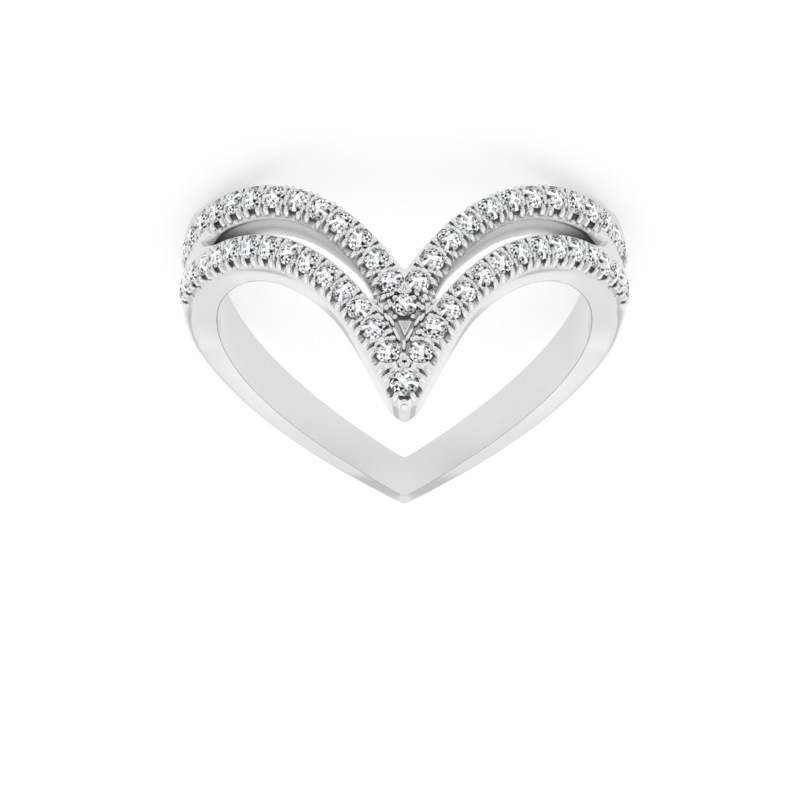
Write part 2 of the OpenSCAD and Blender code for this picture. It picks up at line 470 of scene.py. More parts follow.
def make_rows(surface: Surface) -> tuple[Row, Row]:
    """Works out where the stones and posts of the two rows stand.

    Args:
        surface: The resting ring.

    Returns:
        The front row and the rear row.
    """
    form = surface.form
    front_table = form.length_table(form.front_mid)
    rear_table = form.length_table(form.rear_mid)
    pitch = form.stone_d + form.front_gap
    front = [(form.stone_d + form.tip_stone_d) / 2 + form.tip_gap]
    spot = front[0] + form.stone_d + form.pair_gap
    while look_up(front_table, spot + pitch * (len(front) - 1)) < form.front_stones_end:
        front.append(spot + pitch * (len(front) - 1))
    rear_pitch = form.stone_d + form.rear_gap
    rear = []
    spot = rear_pitch
    while (a := look_up(rear_table, spot)) < form.rear_stones_end:
        if form.front_mid(a) - form.rear_mid(a) > form.stone_d + form.row_gap:
            rear.append(spot)
        spot += rear_pitch
    front_posts = [(form.tip_stone_d + form.tip_gap) / 2, *between(front), front[-1] + pitch / 2]
    rear_posts = [rear_pitch / 2, *between(rear), rear[-1] + rear_pitch / 2]
    return (
        Row("front", surface, form.front_mid, both_ways(front), both_ways(front_posts),
            tuple(front_table), form.tip_stone_d, form.front_prongs_end),
        Row("rear", surface, form.rear_mid, both_ways(rear), both_ways(rear_posts),
            tuple(rear_table), form.stone_d, form.rear_prongs_end),
    )


def add_object(name: str, mesh: bpy.types.Mesh) -> Piece:
    """Links a new object for a mesh to the scene."""
    piece = bpy.data.objects.new(name, mesh)
    bpy.context.scene.collection.objects.link(piece)
    return piece


def write_values(piece: Piece, name: str, domain: str, values: Sequence[float]) -> None:
    """Gives a piece a number for each point or face, under a name."""
    piece.data.attributes.new(name, "FLOAT", domain).data.foreach_set("value", values)


def settle(piece: Piece) -> None:
    """Turns an object's modifiers into plain mesh and removes them."""
    graph = bpy.context.evaluated_depsgraph_get()
    graph.update()
    mesh = bpy.data.meshes.new_from_object(piece.evaluated_get(graph))
    piece.modifiers.clear()
    old = piece.data
    piece.data = mesh
    mesh.name = piece.name
    if old.users == 0:
        bpy.data.meshes.remove(old)


def carve(piece: Piece, tool: Piece, cut: Cut) -> None:
    """Joins a tool to a piece or takes it away, and removes the tool."""
    modifier = piece.modifiers.new(tool.name, "BOOLEAN")
    modifier.operation = cut.value
    modifier.solver = "MANIFOLD"
    modifier.object = tool
    settle(piece)
    bpy.data.objects.remove(tool)


@dataclass
class Solid:
    """Points and faces of one mesh that is put together from one or more shells."""

    points: list[Vector] = field(default_factory=list)
    faces: list[tuple[int, ...]] = field(default_factory=list)

    def add_rings(
        self, rings: Sequence[Sequence[Vector]], closed: bool = False, poles: Sequence[Vector] = ()
    ) -> None:
        """Adds a shell through outlines of as many points each.

        Args:
            rings: The outlines, in order.
            closed: True where the last outline meets the first, so that the shell has no ends.
            poles: Two points to which the ends close, or none where the ends are flat.
        """
        n, count = len(rings[0]), len(rings)
        last = (count - 1) * n
        faces = [
            (k * n + i, k * n + (i + 1) % n, (k + 1) % count * n + (i + 1) % n, (k + 1) % count * n + i)
            for k in range(count if closed else count - 1) for i in range(n)
        ]
        if poles:
            faces += [(last + n, (i + 1) % n, i) for i in range(n)]
            faces += [(last + n + 1, last + i, last + (i + 1) % n) for i in range(n)]
        elif not closed:
            faces += [tuple(range(n)), tuple(range(last + n - 1, last - 1, -1))]
        start = len(self.points)
        self.points += [p for ring in rings for p in ring] + list(poles)
        self.faces += [tuple(start + i for i in face) for face in faces]

    def make(self, name: str) -> Piece:
        """Makes the object, with its faces pointing outwards."""
        mesh = bpy.data.meshes.new(name)
        mesh.from_pydata([tuple(p) for p in self.points], [], self.faces)
        form = bmesh.new()
        form.from_mesh(mesh)
        bmesh.ops.recalc_face_normals(form, faces=form.faces)
        form.to_mesh(mesh)
        form.free()
        return add_object(name, mesh)


def rounded(corners: Sequence[Triple], steps: int = 4, most: float = 0.45) -> list[Pair]:
    """Rounds the corners of a closed outline.

    Args:
        corners: Position and rounding of each corner.
        steps: Number of steps in each rounding.
        most: Largest share of a side that one rounding takes.

    Returns:
        The rounded outline, with steps + 1 points for each corner.
    """
    outline = []
    for i, (x, y, reach) in enumerate(corners):
        here = Vector((x, y))
        before = Vector(corners[i - 1][:2]) - here
        after = Vector(corners[(i + 1) % len(corners)][:2]) - here
        start = here + before * min(most, reach / max(before.length, 1e-6))
        end = here + after * min(most, reach / max(after.length, 1e-6))
        for k in range(steps + 1):
            t = k / steps
            outline.append(tuple(start * (1 - t) ** 2 + here * 2 * t * (1 - t) + end * t * t))
    return outline


@dataclass
class Band:
    """The metal of the ring: shank, shoulders and the two row walls, with their seats and cuts.

    Roundings end in _r, depths count from the tops of the rows and reaches from a row's middle. The cuts
    at the tip have a turn, a share of the scallops' width, an end and a depth, and the pocket's corners a
    side and a height along the finger.
    """

    surface: Surface
    rows: tuple[Row, Row]
    bore_cut: float = 0.3
    bore_past: float = 2.0
    bore_steps: int = 720
    rear_span: float = 78.0
    corner_r: float = 0.06
    wall_r: float = 0.4
    shank_corner_r: float = 0.16
    break_r: float = 0.1
    foot_r: float = 0.2
    sharp_r: float = 0.02
    line_r: float = 0.01
    lip_r: float = 0.005
    lip_h: float = 0.05
    plate: float = 0.57
    bevel: float = 0.93
    bevel_depth: float = 0.42
    foot_drop: float = 0.5
    ledge: float = 0.07
    line_h: float = 0.16
    line_in: float = 0.02
    rear_plate: float = 0.62
    spread_share: float = 0.5
    soften: float = 0.3
    slit_end: Zone = Zone(56, 9)
    seat_gap: float = 0.012
    seat_foot: float = 0.25
    seat_edge: float = 0.02
    seat_steps: int = 32
    scallop_w: float = 0.46
    scallop_depth: float = 0.38
    scallop_start: float = 0.3
    scallop_steps: int = 10
    rear_scallop_depth: float = 0.2
    rear_scallop_start: float = -0.4
    rear_cut_end: float = -0.57
    notch_w: float = 0.2
    notch_depth: float = 0.3
    notch_start: float = 0.32
    rear_notch_depth: float = 0.34
    rear_notch_start: float = 0.26
    cut_end: float = 0.86
    cut_above: float = 0.5
    tip_cut_start: float = 0.45
    tip_cuts: tuple[tuple[float, ...], ...] = (
        (-62, 1.0, 1.0, 0.5), (0, 1.8, 0.84, 0.3), (62, 1.0, 1.0, 0.5),
    )
    pocket_depth: float = 0.2
    pocket: tuple[Pair, ...] = (
        (-1.45, 5.35), (-0.6, 5.15), (0.6, 5.15), (1.45, 5.35), (0.28, 8.95), (-0.28, 8.95),
    )
    pocket_reach: float = 9.0
    # painted shade on the floor of the centre pocket
    pocket_shade: float = 0.5
    shade_step: float = 0.25
    shade_steps: int = 400
    # painted shade in cuts: where below the row tops it begins and how far down it becomes full
    shade_depth: float = 0.22
    shade_margin: float = 0.07
    shade_fade: float = 0.12
    foot_fade: float = 0.3
    satin_depth: float = 0.36
    satin_fade: float = 0.14
    # painted shade in the slit between the rows, growing towards the shoulders
    slit_dark: Zone = Zone(44, 16)
    slit_shade: float = 0.8
    # the painted shade line at the bore's edges lies only on faces whose normal points less than this along
    # the radius
    edge_shade_turn: float = 0.75
    fine_step: float = 0.25
    fine_head: int = 6
    fine_back: int = 4
    smooth_to: float = 32.0

    def front_corners(self, a: float) -> list[Triple]:
        """Corners of one section of the front row and the shank."""
        form = self.surface.form
        shank, join, part = form.plain.at(a), form.join.at(a), form.part.at(a)
        low = form.foot(a)
        top = mix(form.beside(form.front_mid, a, self.plate), low - form.edge_r, shank)
        bevel = mix(soft_min(form.beside(form.front_mid, a, self.bevel), low, self.soften), low, shank)
        free = form.beside(form.front_mid, a, -self.rear_plate)
        reach = form.row_w / 2 * (1 + self.spread_share * form.spread.at(a))
        wide = form.beside(form.front_mid, a, -reach)
        edge = mix(form.rear_mid(a), mix(free, self.slit_mid(a), self.slit_end.at(a)), part)
        rear = mix(edge, form.back(a) + form.edge_r * shank, join)
        wall = mix(mix(form.rear_mid(a), wide, part), form.back(a), join) - form.join_lap
        r = form.outer_r(a)
        bore = form.finger_r - self.bore_cut
        lip = form.finger_r + self.lip_h
        small = mix(self.corner_r, self.shank_corner_r, shank)
        drop = mix(self.bevel_depth, form.edge_r, shank)
        near = mix(low, bevel, (lip - bore) / (r - drop - bore))
        inner = r - mix(form.break_h, form.edge_r, shank)
        return [
            (low, bore, self.sharp_r),
            (near, lip, self.lip_r),
            (bevel, r - drop, mix(self.wall_r, self.shank_corner_r, shank)),
            (top, r, small),
            (rear, r, small),
            (wall, inner, mix(self.break_r, self.shank_corner_r, shank)),
            (wall, bore, self.sharp_r),
        ]

    def slit_mid(self, a: float) -> float:
        """Middle of the slit between the rows."""
        form = self.surface.form
        front_edge = form.beside(form.front_mid, a, -self.rear_plate)
        return (front_edge + form.beside(form.rear_mid, a, self.bevel)) / 2

    def rear_corners(self, a: float) -> list[Triple]:
        """Corners of one section of the rear row."""
        form = self.surface.form
        bevel = form.beside(form.rear_mid, a, self.bevel)
        widen = (self.slit_mid(a) - bevel) * self.slit_end.at(a)
        bevel += widen
        top = form.beside(form.rear_mid, a, self.plate) + widen
        wide = form.beside(form.rear_mid, a, form.row_w / 2 * (1 + form.rear_spread.at(a)))
        low = max(wide, form.gap_foot(a), bevel)
        wall = form.back(a)
        r = form.head_r
        under = r - self.bevel_depth
        bore = form.finger_r - self.bore_cut
        edge = bevel - self.ledge
        return [
            (low, bore, self.sharp_r),
            (mix(edge, low, form.rear_break), under - self.foot_drop, self.foot_r),
            (edge + self.line_in, under - self.ledge - self.line_h, self.line_r),
            (edge, under - self.ledge, self.line_r),
            (bevel, under, self.sharp_r),
            (top, r, self.corner_r),
            (wall + form.back_bevel, r, self.corner_r),
            (wall, r - 2 * form.back_bevel, self.corner_r),
            (wall, bore, self.sharp_r),
        ]

    def loft(
        self, name: str, angles: Sequence[float], corners: Callable[[float], list[Triple]], closed: bool
    ) -> Piece:
        """Lofts the metal through sections.

        Args:
            name: Name of the object.
            angles: Angles of the sections.
            corners: Gives the corners of the section at an angle.
            closed: True where the last section meets the first.

        Returns:
            The lofted object.
        """
        solid = Solid()
        outlines = [(a, rounded(corners(abs(a)))) for a in angles]
        solid.add_rings([[self.surface.point(a, *p) for p in outline] for a, outline in outlines], closed)
        return solid.make(name)

    def bore(self) -> Piece:
        """The finger hole as a solid that runs past both edges of the band."""
        form = self.surface.form
        turns = [360 * i / self.bore_steps for i in range(self.bore_steps)]
        ends = (form.side_back - self.bore_past, form.side_front + form.front_rise + form.shoulder_w)
        solid = Solid()
        solid.add_rings([[self.surface.point(a, along, form.finger_r) for a in turns] for along in ends])
        return solid.make("bore")

    def seats(self) -> Piece:
        """The seats of all stones as one solid."""
        form = self.surface.form
        turns = round_steps(self.seat_steps)
        solid = Solid()
        for row in self.rows:
            for length, d in row.stones():
                place = row.place_at(length, form.head_r - form.girdle_sink)
                r = d / 2 + self.seat_gap
                foot = (self.seat_foot * r, -d * Brilliant.pavilion - self.seat_gap)
                levels = (foot, (r, -self.seat_edge), (r, self.cut_above))
                solid.add_rings(
                    [[place.point(q * math.cos(t), q * math.sin(t), n) for t in turns] for q, n in levels]
                )
        return solid.make("seats")

    def scallop(self, width: float, depth: float) -> list[Pair]:
        """Outline of a U-shaped cut."""
        r = width / 2
        arc = [math.pi * (1 + i / self.scallop_steps) for i in range(self.scallop_steps + 1)]
        curve = [(r * math.cos(t), -depth + r + r * math.sin(t)) for t in arc]
        return [(r, self.cut_above), (-r, self.cut_above)] + curve

    def notch(self, depth: float) -> list[Pair]:
        """Outline of a V-shaped cut that splits a post into two prongs."""
        spread = self.notch_w / 2 * (1 + self.cut_above / depth)
        return [(spread, self.cut_above), (-spread, self.cut_above), (0, -depth)]

    def cut(self, solid: Solid, place: Place, outline: Sequence[Pair], near: float, far: float) -> None:
        """Adds a cut that runs across a row from near to far."""
        solid.add_rings([[place.point(t, b, n) for t, n in outline] for b in (near, far)])

    def scallops(self, row: Row) -> Piece:
        """The U cuts under the stones of one row."""
        head_r = self.surface.form.head_r
        front = self.scallop(self.scallop_w, self.scallop_depth)
        rear = self.scallop(self.scallop_w, self.rear_scallop_depth)
        solid = Solid()
        for length in row.stone_spots:
            place = row.place_at(length, head_r)
            if row.open_at(length):
                self.cut(solid, place, front, self.scallop_start, self.cut_end)
            self.cut(solid, place, rear, self.rear_scallop_start, self.rear_cut_end)
        if row.name == "front":
            for turn, width, end, depth in self.tip_cuts:
                place = row.place_at(0.0, head_r).turned(turn)
                self.cut(solid, place, self.scallop(self.scallop_w * width, depth), self.tip_cut_start, end)
        return solid.make(f"{row.name}_scallops")

    def notches(self, row: Row) -> Piece:
        """The V cuts between the stones of one row."""
        front, rear = self.notch(self.notch_depth), self.notch(self.rear_notch_depth)
        solid = Solid()
        for length in row.post_spots[1:-1]:
            place = row.place_at(length, self.surface.form.head_r)
            if row.open_at(length):
                self.cut(solid, place, front, self.notch_start, self.cut_end)
            else:
                self.cut(solid, place, rear, self.rear_notch_start, -self.rear_cut_end)
            self.cut(solid, place, rear, -self.rear_notch_start, self.rear_cut_end)
        return solid.make(f"{row.name}_notches")

    def centre_pocket(self) -> Piece:
        """The pocket between the two rows at the middle of the head."""
        surface, head_r = self.surface, self.surface.form.head_r
        solid = Solid()
        solid.add_rings([
            [surface.point(surface.angle_at(side), along, r) for side, along in self.pocket]
            for r in (head_r - self.pocket_depth, head_r + self.cut_above)
        ])
        return solid.make("pocket")

    def row_lines(self) -> KDTree:
        """Points along the middle lines of both rows on the unrolled ring, the front row's first."""
        head_r = self.surface.form.head_r
        steps = [i * self.shade_step for i in range(-self.shade_steps, self.shade_steps + 1)]
        spots = [Vector((a / RADIAN * head_r, row.mid(abs(a)), 0)) for row in self.rows for a in steps]
        lines = KDTree(len(spots))
        for i, spot in enumerate(spots):
            lines.insert(spot, i)
        lines.balance()
        return lines

    def shade_at(self, lines: KDTree, spot: Vector) -> Pair:
        """Painted shade of a point of the metal low in the cuts, and how much of the gap's satin it has.

        Args:
            lines: Points along the middle lines of the rows.
            spot: The point.

        Returns:
            Both as shares.
        """
        form = self.surface.form
        signed, along, r = self.surface.read(spot)
        a = abs(signed)
        _, found, off = lines.find(Vector((signed / RADIAN * form.head_r, along, 0)))
        front_mid, rear_mid = (row.mid(a) for row in self.rows)
        front_side = along > (front_mid if found <= 2 * self.shade_steps else rear_mid)
        end = self.cut_end if front_side else self.rear_plate
        fall = clamp01((off - self.plate) / (self.bevel - self.plate)) if front_side else 0.0
        below = form.outer_r(a) - self.bevel_depth * fall - r
        # painted shade: the lower a point lies in a cut, the darker its colour
        depth = ease((below - self.shade_margin) / self.shade_depth)
        depth *= 1 - ease((below - self.cut_above) / self.shade_depth)
        share = 1 - ease((off - end + self.shade_fade) / self.shade_fade)
        share *= ease((form.foot(a) - along) / self.shade_fade - self.foot_fade)
        within = rear_mid < along < front_mid
        recess = depth * max(share, self.pocket_shade if within and a < self.pocket_reach else 0.0)
        if not (within and self.pocket_reach < a < self.rear_span):
            return recess, 0.0
        # a painted shadow line under the rear row's ledge
        under = form.head_r - r - self.bevel_depth - self.ledge
        if 0 < under < self.line_h - self.line_in and along < form.beside(form.rear_mid, a, self.bevel):
            return 1.0, 0.0
        satin = ease((form.head_r - r - self.satin_depth) / self.satin_fade)
        if satin == 0 or r <= form.finger_r + self.lip_h / 2:
            return recess, 0.0
        # painted shade in the slit between the rows, where the satin gives way to it
        dark = self.slit_dark.at(a)
        return max(recess, self.slit_shade * dark), satin * (1 - dark)

    def shade(self, band: Piece) -> None:
        """Writes over the metal its painted shade in cuts, its satin and its painted shade line at the bore.
        """
        form = self.surface.form
        lines = self.row_lines()
        painted_recess_shades, satins = zip(*(self.shade_at(lines, vertex.co) for vertex in band.data.vertices))
        # painted shade of cuts, pocket and slit, read by the metal's colour
        write_values(band, "recess", "POINT", painted_recess_shades)
        write_values(band, "satin", "POINT", satins)
        # a painted shade line along the bore's edges, on the faces beside the bore
        bore_edge_shades = []
        for face in band.data.polygons:
            a, _, r = self.surface.read(face.center)
            facing = abs(face.normal.dot(self.surface.place(a, 0.0, r).normal))
            bore_edge_shades.append(float(abs(r - form.finger_r) < self.lip_h and facing < self.edge_shade_turn))
        write_values(band, "rim", "FACE", bore_edge_shades)

    def angles(self, span: float) -> list[float]:
        """Angles of the sections, closer together near the tips of the rows and of the shank."""
        step, head, back = self.fine_step, self.fine_head, 180 - self.fine_back
        half = [i * step for i in range(int(head / step))] + [float(a) for a in range(head, int(span) + 1)]
        if span >= 180:
            fine = [back + i * step for i in range(int(self.fine_back / step))]
            half = [a for a in half if a < back] + fine + [180.0]
        return [-a for a in reversed(half[1:])] + half

    def build(self, finish: Material) -> Piece:
        """Makes the band."""
        band = self.loft("band_metal", self.angles(180.0)[1:], self.front_corners, True)
        rear = self.loft("rear_walls", self.angles(self.rear_span), self.rear_corners, False)
        carve(band, rear, Cut.JOIN)
        for make in (self.bore, self.seats, self.centre_pocket):
            carve(band, make(), Cut.TAKE)
        for row in self.rows:
            carve(band, self.scallops(row), Cut.TAKE)
            carve(band, self.notches(row), Cut.TAKE)
        band.data.shade_smooth()
        band.data.set_sharp_from_angle(angle=math.radians(self.smooth_to))
        self.shade(band)
        band.data.materials.clear()
        band.data.materials.append(finish)
        return band


@dataclass(frozen=True)
class Brilliant:
    """The cut of a round brilliant, as shares of its diameter, and the light and shade painted on its
    facets.

    Tones run round the stone from its tangent, in eighths or sixteenths of a turn, so that the third
    eighth looks towards the front.
    """

    table: float = 0.56
    crown: float = 0.14
    girdle: float = 0.03
    pavilion: float = 0.43
    star: float = 0.5
    inner: float = 0.2
    middle: float = 0.36
    # painted light and shade of the facets, each tone given by its first letter
    heart_tones: str = "WPWWWPWL"
    inner_tones: str = "PGBLWPLW"
    middle_tones: str = "WLWPWLGW"
    corner_tones: str = "LDWGBWPBGWBLWPGL"
    star_tones: str = "DWLPWGDWLBWGBBPG"
    kite_tones: str = "LBWGPLGWPWBGBWLD"
    outer_tones: str = "BLWDGPWDLBPGWBDL"
    half_tones: str = "GWBLDWPGLBWDLPDG"
    under_tones: str = "GG"

    def points(self) -> list[Vector]:
        """Points of a stone of diameter 1 mm: the table's middle, rings from the top down, the culet."""
        top = self.girdle + self.crown
        r = 0.5
        rt = self.table / 2
        half = math.cos(math.pi / 8)
        star_r = mix(rt * half, r, self.star)
        star_z = top - self.crown / (r - rt) * (star_r * half - rt)
        rings = (
            (self.inner * r, top, 0.5, 8), (self.middle * r, top, 0, 8), (rt, top, 0, 8),
            (rt * half, top, 0.5, 8), (star_r, star_z, 0.5, 8),
            ((rt + r) / 2, mix(top, self.girdle, 0.5), 0, 8), (r, self.girdle, 0, 16), (r, 0, 0, 16),
        )
        points = [Vector((0, 0, top))]
        for q, z, turn, count in rings:
            points += [Vector((q * math.cos(t), q * math.sin(t), z)) for t in round_steps(count, turn)]
        return [p * MM for p in (*points, Vector((0, 0, -self.pavilion)))]

    def build(self, name: str) -> Piece:
        """Makes a stone of diameter 1 mm whose girdle lies at height 0.

        Args:
            name: Name of the object.

        Returns:
            The stone, with a flat face and a painted tone for each facet, which stands in for the light and
            dark of the facets seen through it.
        """
        heart, middle, corner, edge, star, kite, upper, lower, culet = 1, 9, 17, 25, 33, 41, 49, 65, 81
        faces: list[tuple[int, ...]] = []
        letters = ""
        for i in range(8):
            h, j, g, g1, g2 = (i - 1) % 8, (i + 1) % 8, 2 * i, 2 * i + 1, (2 * i + 2) % 16
            for tones, *facets in (
                (self.heart_tones, (0, heart + h, heart + i)),
                (self.inner_tones, (heart + h, middle + i, heart + i)),
                (self.middle_tones, (heart + i, middle + i, edge + i, middle + j)),
                (self.corner_tones, (middle + i, edge + h, corner + i), (middle + i, corner + i, edge + i)),
                (self.star_tones, (corner + i, star + i, edge + i), (edge + i, star + i, corner + j)),
                (self.kite_tones, (corner + i, star + h, kite + i), (corner + i, kite + i, star + i)),
                (self.outer_tones, (kite + i, star + h, upper + g), (kite + i, upper + g, star + i)),
                (self.half_tones, (star + i, upper + g, upper + g1), (star + i, upper + g1, upper + g2)),
            ):
                faces += facets
                letters += tones[len(facets) * i:len(facets) * (i + 1)]
        for i in range(16):
            j = (i + 1) % 16
            faces += [(upper + i, lower + i, lower + j, upper + j), (culet, lower + j, lower + i)]
            letters += self.under_tones
        stone = Solid(self.points(), faces).make(name)
        # each facet carries its painted tone of light and shade
        write_values(stone, "tone", "FACE", PaintedFacetLight.spell(letters))
        return stone


@dataclass(frozen=True)
class Finger:
    """A prong: a round bar with round ends, in millimetres."""

    r: float = 0.135
    half_length: float = 0.25
    segments: int = 12
    rings: int = 4

    def build(self, name: str) -> Piece:
        """Makes a prong that runs along Y."""
        turns = [math.pi / 2 * i / self.rings for i in range(self.rings)]
        cap = [(self.r * math.cos(t), self.half_length - self.r + self.r * math.sin(t)) for t in turns]
        steps = round_steps(self.segments)
        rings = [
            [Vector((q * math.cos(t), y, q * math.sin(t))) * MM for t in steps]
            for q, y in [(q, -y) for q, y in reversed(cap)] + cap
        ]
        solid = Solid()
        solid.add_rings(rings, poles=[Vector((0, y, 0)) * MM for y in (-self.half_length, self.half_length)])
        piece = solid.make(name)
        piece.data.shade_smooth()
        return piece


@dataclass(frozen=True)
class Grain:
    """A small rounded grain of metal, such as a bead or the tip of a prong."""

    rings: int = 12
    segments: int = 14

    def build(self, name: str) -> Piece:
        """Makes a grain of radius 1 mm."""
        mesh = bpy.data.meshes.new(name)
        form = bmesh.new()
        bmesh.ops.create_uvsphere(form, u_segments=self.segments, v_segments=self.rings, radius=MM)
        form.to_mesh(mesh)
        form.free()
        mesh.shade_smooth()
        return add_object(name, mesh)


class Num:
    """A number socket that takes part in shader maths."""

    def __init__(self, tree: "Tree", socket: Socket) -> None:
        """Wraps a socket of a tree."""
        self.tree = tree
        self.socket = socket

    def maths(self, operation: str, *inputs: "Num | float") -> "Num":
        """Adds a Math node.

        Args:
            operation: The node's operation.
            inputs: Its inputs, in order.

        Returns:
            Its result.
        """
        node = self.tree.add("ShaderNodeMath", {"operation": operation}, dict(enumerate(inputs)))
        return Num(self.tree, node.outputs[0])

    def __add__(self, other: "Num | float") -> "Num":
        """Sum."""
        return self.maths("ADD", self, other)

    __radd__ = __add__

    def __sub__(self, other: "Num | float") -> "Num":
        """Difference."""
        return self.maths("SUBTRACT", self, other)

    def __rsub__(self, other: float) -> "Num":
        """Difference from a number."""
        return self.maths("SUBTRACT", other, self)

    def __mul__(self, other: "Num | float") -> "Num":
        """Product."""
        return self.maths("MULTIPLY", self, other)

    __rmul__ = __mul__

    def step(self, low: float, high: float) -> "Num":
        """Smooth step from 0 at low to 1 at high."""
        settings = {"interpolation_type": "SMOOTHSTEP"}
        values = {0: self, 1: low, 2: high, 3: 0.0, 4: 1.0}
        return Num(self.tree, self.tree.add("ShaderNodeMapRange", settings, values).outputs[0])


@dataclass
class Tree:
    """Adds nodes to one node tree."""

    nodes: bpy.types.NodeTree

    def add(
        self, kind: str, settings: dict[str, object] | None = None,
        values: dict[int | str, object] | None = None,
    ) -> bpy.types.Node:
        """Adds one node.

        Args:
            kind: Type of the node.
            settings: Its settings, set first.
            values: Values or linked sockets, by the name or number of the input.

        Returns:
            The new node.
        """
        node = self.nodes.nodes.new(kind)
        for name, value in (settings or {}).items():
            setattr(node, name, value)
        for key, value in (values or {}).items():
            if isinstance(value, Num):
                value = value.socket
            if isinstance(value, Socket):
                self.nodes.links.new(value, node.inputs[key])
            else:
                node.inputs[key].default_value = value
        return node

    def noise(self, vector: Socket, scale: float, detail: float) -> Num:
        """A noise value from 0 to 1."""
        node = self.add("ShaderNodeTexNoise", None, {"Vector": vector, "Scale": scale, "Detail": detail})
        return Num(self, node.outputs["Fac"])

    def attribute(self, name: str) -> Num:
        """A number that a piece carries under a name."""
        return Num(self, self.add("ShaderNodeAttribute", {"attribute_name": name}).outputs["Fac"])

    def blend(self, factor: Num, a: object, b: object) -> Socket:
        """Blend of two colours, each a triple or a linked socket."""
        a, b = ((*c, 1.0) if isinstance(c, tuple) else c for c in (a, b))
        return self.add("ShaderNodeMix", {"data_type": "RGBA"}, {"Factor": factor, 6: a, 7: b}).outputs[2]

    def facing(self, vector: Socket, way: Vector) -> Num:
        """Cosine of the angle between a direction and a fixed one."""
        node = self.add("ShaderNodeVectorMath", {"operation": "DOT_PRODUCT"}, {0: vector, 1: tuple(way)})
        return Num(self, node.outputs["Value"])


@dataclass(frozen=True)
class Finish:
    """A procedural material on the coordinates of its object, with a faint cloud over its colour."""

    name: str
    cloud_scale: float
    cloud_detail: float = 2.0
    cloud_edges: Pair = (0.3, 0.7)

    def cloud(self, tree: Tree, where: Socket) -> Num:
        """The cloud, from 0 to 1."""
        return tree.noise(where, self.cloud_scale, self.cloud_detail)

    def values(self, tree: Tree, where: Socket) -> dict[int | str, object]:
        """What the shader's inputs hold.

        Args:
            tree: The material's nodes.
            where: The place on the object.

        Returns:
            Values and linked sockets, by the names of the inputs.
        """
        raise NotImplementedError

    def make(self) -> Material:
        """Builds the material."""
        material = bpy.data.materials.new(self.name)
        material.use_nodes = True
        material.node_tree.nodes.clear()
        tree = Tree(material.node_tree)
        where = tree.add("ShaderNodeTexCoord").outputs["Object"]
        shader = tree.add("ShaderNodeBsdfPrincipled", None, self.values(tree, where))
        tree.add("ShaderNodeOutputMaterial", None, {"Surface": shader.outputs[0]})
        return material


@dataclass(frozen=True)
class PolishedMetal(Finish):
    """Mirror-polished white metal with faint polishing marks, painted shade in cuts and along the bore's
    edges, satin in the gap.
    """

    name: str = "polished_metal"
    colour: Triple = (0.735, 0.735, 0.74)
    cloudy: Triple = (0.715, 0.715, 0.72)
    # colour of the painted shade line along the bore's edges
    line: Triple = (0.4, 0.4, 0.4)
    # colour of the painted shade in cuts, pocket and slit
    painted_shade: Triple = (0.2, 0.2, 0.205)
    dull: Triple = (0.84, 0.84, 0.845)
    cloud_scale: float = 400.0
    cloud_detail: float = 3.0
    mark_scale: Triple = (9000.0, 9000.0, 900.0)
    mark_detail: float = 2.0
    mark_height: float = 0.00001
    mark_strength: float = 0.02
    roughness: float = 0.1
    unevenness: float = 0.04
    satin_metal: float = 0.2
    deep_metal: float = 0.45
    satin_roughness: float = 0.35

    def values(self, tree: Tree, where: Socket) -> dict[int | str, object]:
        """What the shader's inputs hold."""
        cloud = self.cloud(tree, where)
        marks = tree.add("ShaderNodeMapping", None, {"Vector": where, "Scale": self.mark_scale})
        fine = tree.noise(marks.outputs[0], 1.0, self.mark_detail)
        relief = {"Height": fine, "Strength": self.mark_strength, "Distance": self.mark_height}
        recess, satin = tree.attribute("recess"), tree.attribute("satin")
        tint = tree.blend(cloud.step(*self.cloud_edges), self.colour, self.cloudy)
        # blends in the painted shade line at the bore's edges, the painted shade in cuts and the satin of
        # the gap
        for factor, tone in ((tree.attribute("rim"), self.line), (recess, self.painted_shade), (satin, self.dull)):
            tint = tree.blend(factor, tint, tone)
        gloss = cloud * self.unevenness + (self.roughness - self.unevenness / 2)
        return {
            "Base Color": tint, "Normal": tree.add("ShaderNodeBump", None, relief).outputs[0],
            # where shade is painted, the metal is also less metallic
            "Metallic": 1.0 - satin * (1 - self.satin_metal) - recess * (1 - self.deep_metal),
            "Roughness": gloss + satin * (self.satin_roughness - self.roughness),
        }


@dataclass(frozen=True)
class ClearStone(Finish):
    """Clear colourless stone, with the light and shade of its cut facets painted into its colour, and a
    faint painted glow.
    """

    name: str = "clear_stone"
    colour: Triple = (0.97, 0.98, 0.98)
    cool: Triple = (0.93, 0.97, 0.98)
    # black of the darkest painted facets
    painted_shade: Triple = (0.01, 0.01, 0.012)
    cloud_scale: float = 900.0
    cloud_edges: Pair = (0.35, 0.65)
    shine: float = 0.3
    # strength of the painted glow of the facets
    painted_glow: float = 0.12
    roughness: float = 0.03
    unevenness: float = 0.04

    def values(self, tree: Tree, where: Socket) -> dict[int | str, object]:
        """What the shader's inputs hold."""
        cloud = self.cloud(tree, where)
        light = tree.blend(cloud.step(*self.cloud_edges), self.colour, self.cool)
        # painted facet light and shade: each facet's tone blends from the painted black up to the light
        # colour
        facets = tree.blend(tree.attribute("tone"), self.painted_shade, light)
        return {
            "Base Color": facets, "Metallic": self.shine,
            "Roughness": cloud * self.unevenness + self.roughness,
            # painted glow: the painted facet tones also shine as light
            "Emission Color": facets, "Emission Strength": self.painted_glow,
        }


